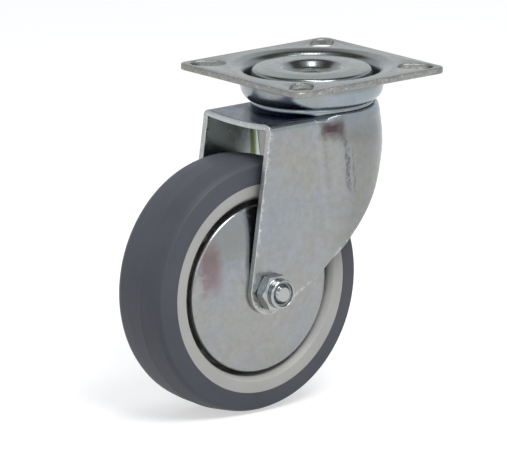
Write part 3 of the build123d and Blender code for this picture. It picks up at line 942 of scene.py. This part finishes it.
def make_tyre():
    """Soft tread: rounded shoulders, a faint parting line and the moulded line on each side face."""
    line = [(-y, r, *rest) for r, y, *rest in TREAD_HALF]
    line += [(y - PARTING_Y, r) for y, r in PARTING_LINE]
    line += [(y, r, *rest) for r, y, *rest in TREAD_HALF[::-1]]
    bore = [Vector((TREAD_BORE_Y, TREAD_BORE_R)), Vector((-TREAD_BORE_Y, TREAD_BORE_R))]
    verts, faces = lathe(rounded_path(line, steps=10) + bore, about_axle, TREAD_STEPS)
    add_piece("soft_tread", verts, faces, MATERIALS["tread"], "wheel", ("tyre",), TREAD_CREASE)


def hexagon(height, far_ends):
    """Side walls and chamfers of a hexagon, as rings from the bearing face to the outer end."""
    count = 6 * HEX_SIDE_STEPS
    turned_r = NUT_AF / 2 - HEX_CHAMFER_IN
    radii = []
    for k in range(count):
        flat_turn = math.tau * k / count % (math.pi / 3) - math.pi / 6
        radii.append(min(NUT_AF / 2 / math.cos(flat_turn), NUT_AF / math.sqrt(3) - HEX_CORNER_CUT))
    rings = [[(THREAD_R, 0.0)] * count]
    for base, sign, shares in ((0.0, 1, (0.0, 0.5, 1.0)), (height, -1, (1.0, 0.5, 0.0))):
        for share in shares:
            out = [(r - turned_r) * share for r in radii]
            rings.append([(turned_r + d, base + sign * d * HEX_CHAMFER_SLOPE) for d in out])
    return rings + [[(r, h)] * count for r, h in far_ends], count


def place_rings(rings, count, base_y, sign):
    """Vertices and faces of rings of (radius, height) about the axle, standing on base_y."""
    verts = []
    for line in rings:
        for k, (radius, height) in enumerate(line):
            verts.append(about_axle(base_y + sign * height, radius, math.tau * k / count))
    return verts, strips(len(rings), count)


def add_fastener(name, verts, faces, node):
    """Makes the nut or the bolt, which ride on the fork."""
    material = MATERIALS["zinc_fastener"]
    add_piece(name, verts, faces, material, "swivel_frame", (node,), FASTENER_CREASE)


def make_nut():
    """Locking nut: hexagon with a washer-like chamfer and a rolled collar over the nylon ring."""
    collar = rounded_path(
        [
            (COLLAR_FOOT_R, NUT_HEX_H),
            (COLLAR_R, NUT_HEX_H + 0.05, 0.4),
            (COLLAR_R, NUT_H, 0.85),
            (COLLAR_BORE_R, NUT_H, 0.35),
            (COLLAR_BORE_R, NUT_H - COLLAR_LIP_H),
        ]
    )
    ends = [tuple(p) for p in collar]
    ends.append((COLLAR_BORE_R, NUT_H - COLLAR_LIP_H))
    ends.append((COLLAR_BORE_R, NUT_H - INSERT_POCKET_H))
    ends.append((THREAD_R + 0.1, NUT_H - INSERT_POCKET_H))
    verts, faces = place_rings(*hexagon(NUT_HEX_H, ends), -FORK_HALF, -1)
    add_fastener("lock_nut", verts, faces, "axle_nut")
    (inner_y, outer_y), (outer_r, inner_r) = INSERT_Y, INSERT_R
    corners = [(inner_y, outer_r), (outer_y, outer_r, 0.15), (outer_y, inner_r, 0.3), (inner_y, inner_r)]
    verts, faces = lathe(rounded_path(corners, closed=True, steps=5), about_axle, INSERT_STEPS)
    add_piece("lock_ring", verts, faces, MATERIALS["nylon"], "swivel_frame", ("nut_insert",))


def thread_row(i, steps):
    """One level row of the thread, (along, radius) at each angle, cut down to the cone of the tip."""
    y = THREAD_START_Y - (THREAD_START_Y - BOLT_TIP_Y) * i / steps
    row = []
    for k in range(THREAD_TURN_STEPS):
        phase = (y / THREAD_PITCH + k / THREAD_TURN_STEPS) % 1.0
        tooth = abs(phase - 0.5) * 2
        run_in = min(i / THREAD_PITCH_STEPS, 1.0)
        depth = THREAD_DEPTH * min(max((tooth - THREAD_CREST) / THREAD_FLANK, 0), 1) * run_in
        row.append((y, min(SHANK_R - depth, BOLT_TIP_R + BOLT_TIP_SLOPE * (y - BOLT_TIP_Y))))
    return row


def make_bolt():
    """Hexagon bolt: head on the far side, shank, and a real helical thread at the nut's end."""
    verts, faces = place_rings(*hexagon(BOLT_HEAD_H, [(0.0, BOLT_HEAD_H)]), FORK_HALF, 1)
    steps = int((THREAD_START_Y - BOLT_TIP_Y) / THREAD_PITCH * THREAD_PITCH_STEPS)
    rows = [[(y, SHANK_R)] * THREAD_TURN_STEPS for y in (FORK_HALF, THREAD_START_Y + 0.6)]
    rows += [thread_row(i, steps) for i in range(steps + 1)]
    rows += [[(BOLT_TIP_Y, r)] * THREAD_TURN_STEPS for r in (BOLT_TIP_R - 0.3, 0.0)]
    points = [
        about_axle(y, r, math.tau * k / THREAD_TURN_STEPS) for row in rows for k, (y, r) in enumerate(row)
    ]
    append(verts, faces, points, strips(len(rows), THREAD_TURN_STEPS))
    add_fastener("hex_bolt", verts, faces, "axle_bolt")


def make_seal_ring():
    """Rounded ring round the foot of the bowl; its skirt follows the crown down into the dip at the mouth."""
    bead = [math.radians(t) for t in range(90, -66, -8)]
    mid_z = RING_TOP_Z - RING_BEAD_H
    outline = [(mid_z + RING_BEAD_H * math.sin(t), RING_R - RING_BEAD_W * (1 - math.cos(t))) for t in bead]
    outline = [Vector(p) for p in outline]
    outline += [Vector((RING_FOOT_Z, outline[-1].y)), Vector((RING_FOOT_Z, RING_R - 2 * RING_BEAD_W))]
    outline.append(Vector((RING_TOP_Z, RING_R - 2 * RING_BEAD_W)))
    verts, faces = lathe(outline, about_swivel, RING_STEPS)
    add_piece(
        "seal_ring", verts, faces, MATERIALS["zinc_sheet"], "swivel_frame", ("dust_ring",)
    )


# ---- stage ----
FLOOR_Z = cad_box[0][2]
FLOOR_SIDE = 12.0
PAPER_COLOR = (0.55, 0.55, 0.55, 1.0)
PAPER_GLOW = 0.56
# what metal sees of the room, by the height of the direction and by how far it points away from the camera
HORIZON = (0.95, 0.97, 1.0)
CEILING_NEAR = (0.46, 0.45, 0.44)
CEILING_FAR = (0.16, 0.14, 0.11)
CEILING_TOP = (0.60, 0.62, 0.62)
CEILING_FROM = (0.58, 0.70)
CEILING_TOP_FROM = (0.90, 0.97)
CEILING_TURN = (-0.45, 0.0)
WINDOW = (1.85, 2.05, 2.25)
WINDOW_HEIGHT = (0.28, 0.50, 0.05)
WINDOW_BEHIND = (-0.84, -0.74)
ROOM = (0.52, 0.53, 0.55)  # what every matt surface is lit by
LAMP_AIM = (0, 0, -0.06)


def make_stage():
    """Pale paper that keeps the shadow, and shows white to the camera and in the metal."""
    mesh = bpy.data.meshes.new("floor")
    corners = [(sx * FLOOR_SIDE, sy * FLOOR_SIDE, FLOOR_Z) for sx, sy in ((-1, -1), (1, -1), (1, 1), (-1, 1))]
    mesh.from_pydata(corners, [], [(0, 1, 2, 3)])
    floor = bpy.data.objects.new("floor", mesh)
    bpy.context.scene.collection.objects.link(floor)
    material, n = new_material("floor")
    path = n.add("ShaderNodeLightPath").outputs
    seen = n.math("MAXIMUM", path["Is Camera Ray"], path["Is Glossy Ray"])
    seen = n.math("MAXIMUM", seen, path["Is Transmission Ray"])
    matt = n.add("ShaderNodeBsdfDiffuse", values={"Color": PAPER_COLOR})
    strength = n.product(seen, PAPER_GLOW)
    glow = n.add("ShaderNodeEmission", {"Strength": strength}, values={"Color": (1.0, 1.0, 1.0, 1.0)})
    both = n.add("ShaderNodeAddShader", {0: matt.outputs[0], 1: glow.outputs[0]})
    n.add("ShaderNodeOutputMaterial", {"Surface": both.outputs[0]})
    floor.data.materials.append(material)


def make_lamp(name, azimuth, elevation, distance, size, power):
    """A rectangular softbox aimed at the castor from a direction given as the camera's is."""
    a, e = math.radians(azimuth), math.radians(elevation)
    back = Vector((math.sin(a) * math.cos(e), -math.cos(a) * math.cos(e), math.sin(e)))
    data = bpy.data.lights.new(name, "AREA")
    data.shape = "RECTANGLE"
    data.size, data.size_y = size
    data.energy = power
    lamp = bpy.data.objects.new(name, data)
    turn = back.to_track_quat("Z", "Y").to_matrix().to_4x4()
    lamp.matrix_world = Matrix.Translation(Vector(LAMP_AIM) + back * distance) @ turn
    bpy.context.scene.collection.objects.link(lamp)


def make_world():
    """Room light: even for matt surfaces; metal sees a white horizon, a dim ceiling and a soft window."""
    world = bpy.data.worlds.new("studio")
    world.use_nodes = True
    bpy.context.scene.world = world
    n = Nodes(world.node_tree)
    path = n.add("ShaderNodeLightPath").outputs
    direction = n.add("ShaderNodeTexCoord").outputs["Generated"]
    split = n.add("ShaderNodeSeparateXYZ", {"Vector": direction}).outputs
    turned = n.add(
        "ShaderNodeVectorRotate", {"Vector": direction}, rotation_type="Z_AXIS", values={"Angle": -CAM_AZ}
    ).outputs["Vector"]
    ahead = n.add("ShaderNodeSeparateXYZ", {"Vector": turned}).outputs["Y"]
    ceiling = n.blend(n.spread(ahead, *CEILING_TURN, 0.0, 1.0), CEILING_NEAR, CEILING_FAR)
    ceiling = n.blend(n.spread(split["Z"], *CEILING_TOP_FROM, 0.0, 1.0), ceiling, CEILING_TOP)
    shown = n.blend(n.spread(split["Z"], *CEILING_FROM, 0.0, 1.0), HORIZON, ceiling)
    lit = n.product(n.spread(ahead, *WINDOW_BEHIND, 1.0, 0.0), n.window(split["Z"], *WINDOW_HEIGHT))
    shown = n.blend(lit, shown, WINDOW)
    room = n.blend(path["Is Glossy Ray"], ROOM, shown)
    seen = n.math("MAXIMUM", path["Is Camera Ray"], path["Is Transmission Ray"])
    color = n.blend(seen, room, (1.0, 1.0, 1.0))
    background = n.add("ShaderNodeBackground", {"Color": color}, values={"Strength": 1.0})
    n.add("ShaderNodeOutputWorld", {"Surface": background.outputs[0]})


# ---- assembly ----
make_camera()
dress_frame()
make_plate()
make_fork()
make_tyre()
make_nut()
make_bolt()
refined("wheel_core", "rim_and_hub", "core_plastic", "wheel")
refined("race_cap", "cap_pressing", "zinc_sheet", "swivel_frame")
refined("king_pin", "head_rivet", "zinc_sheet", "swivel_frame")
make_seal_ring()
for side in ("near", "far"):
    refined(f"thread_guard_{side}", f"guard_disc_{side}", "zinc_sheet", "swivel_frame")
make_stage()
make_world()
make_lamp("key", -12.0, 52.0, 1.2, (0.6, 0.5), 10.0)
make_lamp("top", -39.0, 84.0, 1.0, (0.22, 0.20), 2.0)

view = bpy.context.scene.view_settings
view.view_transform = "Standard"
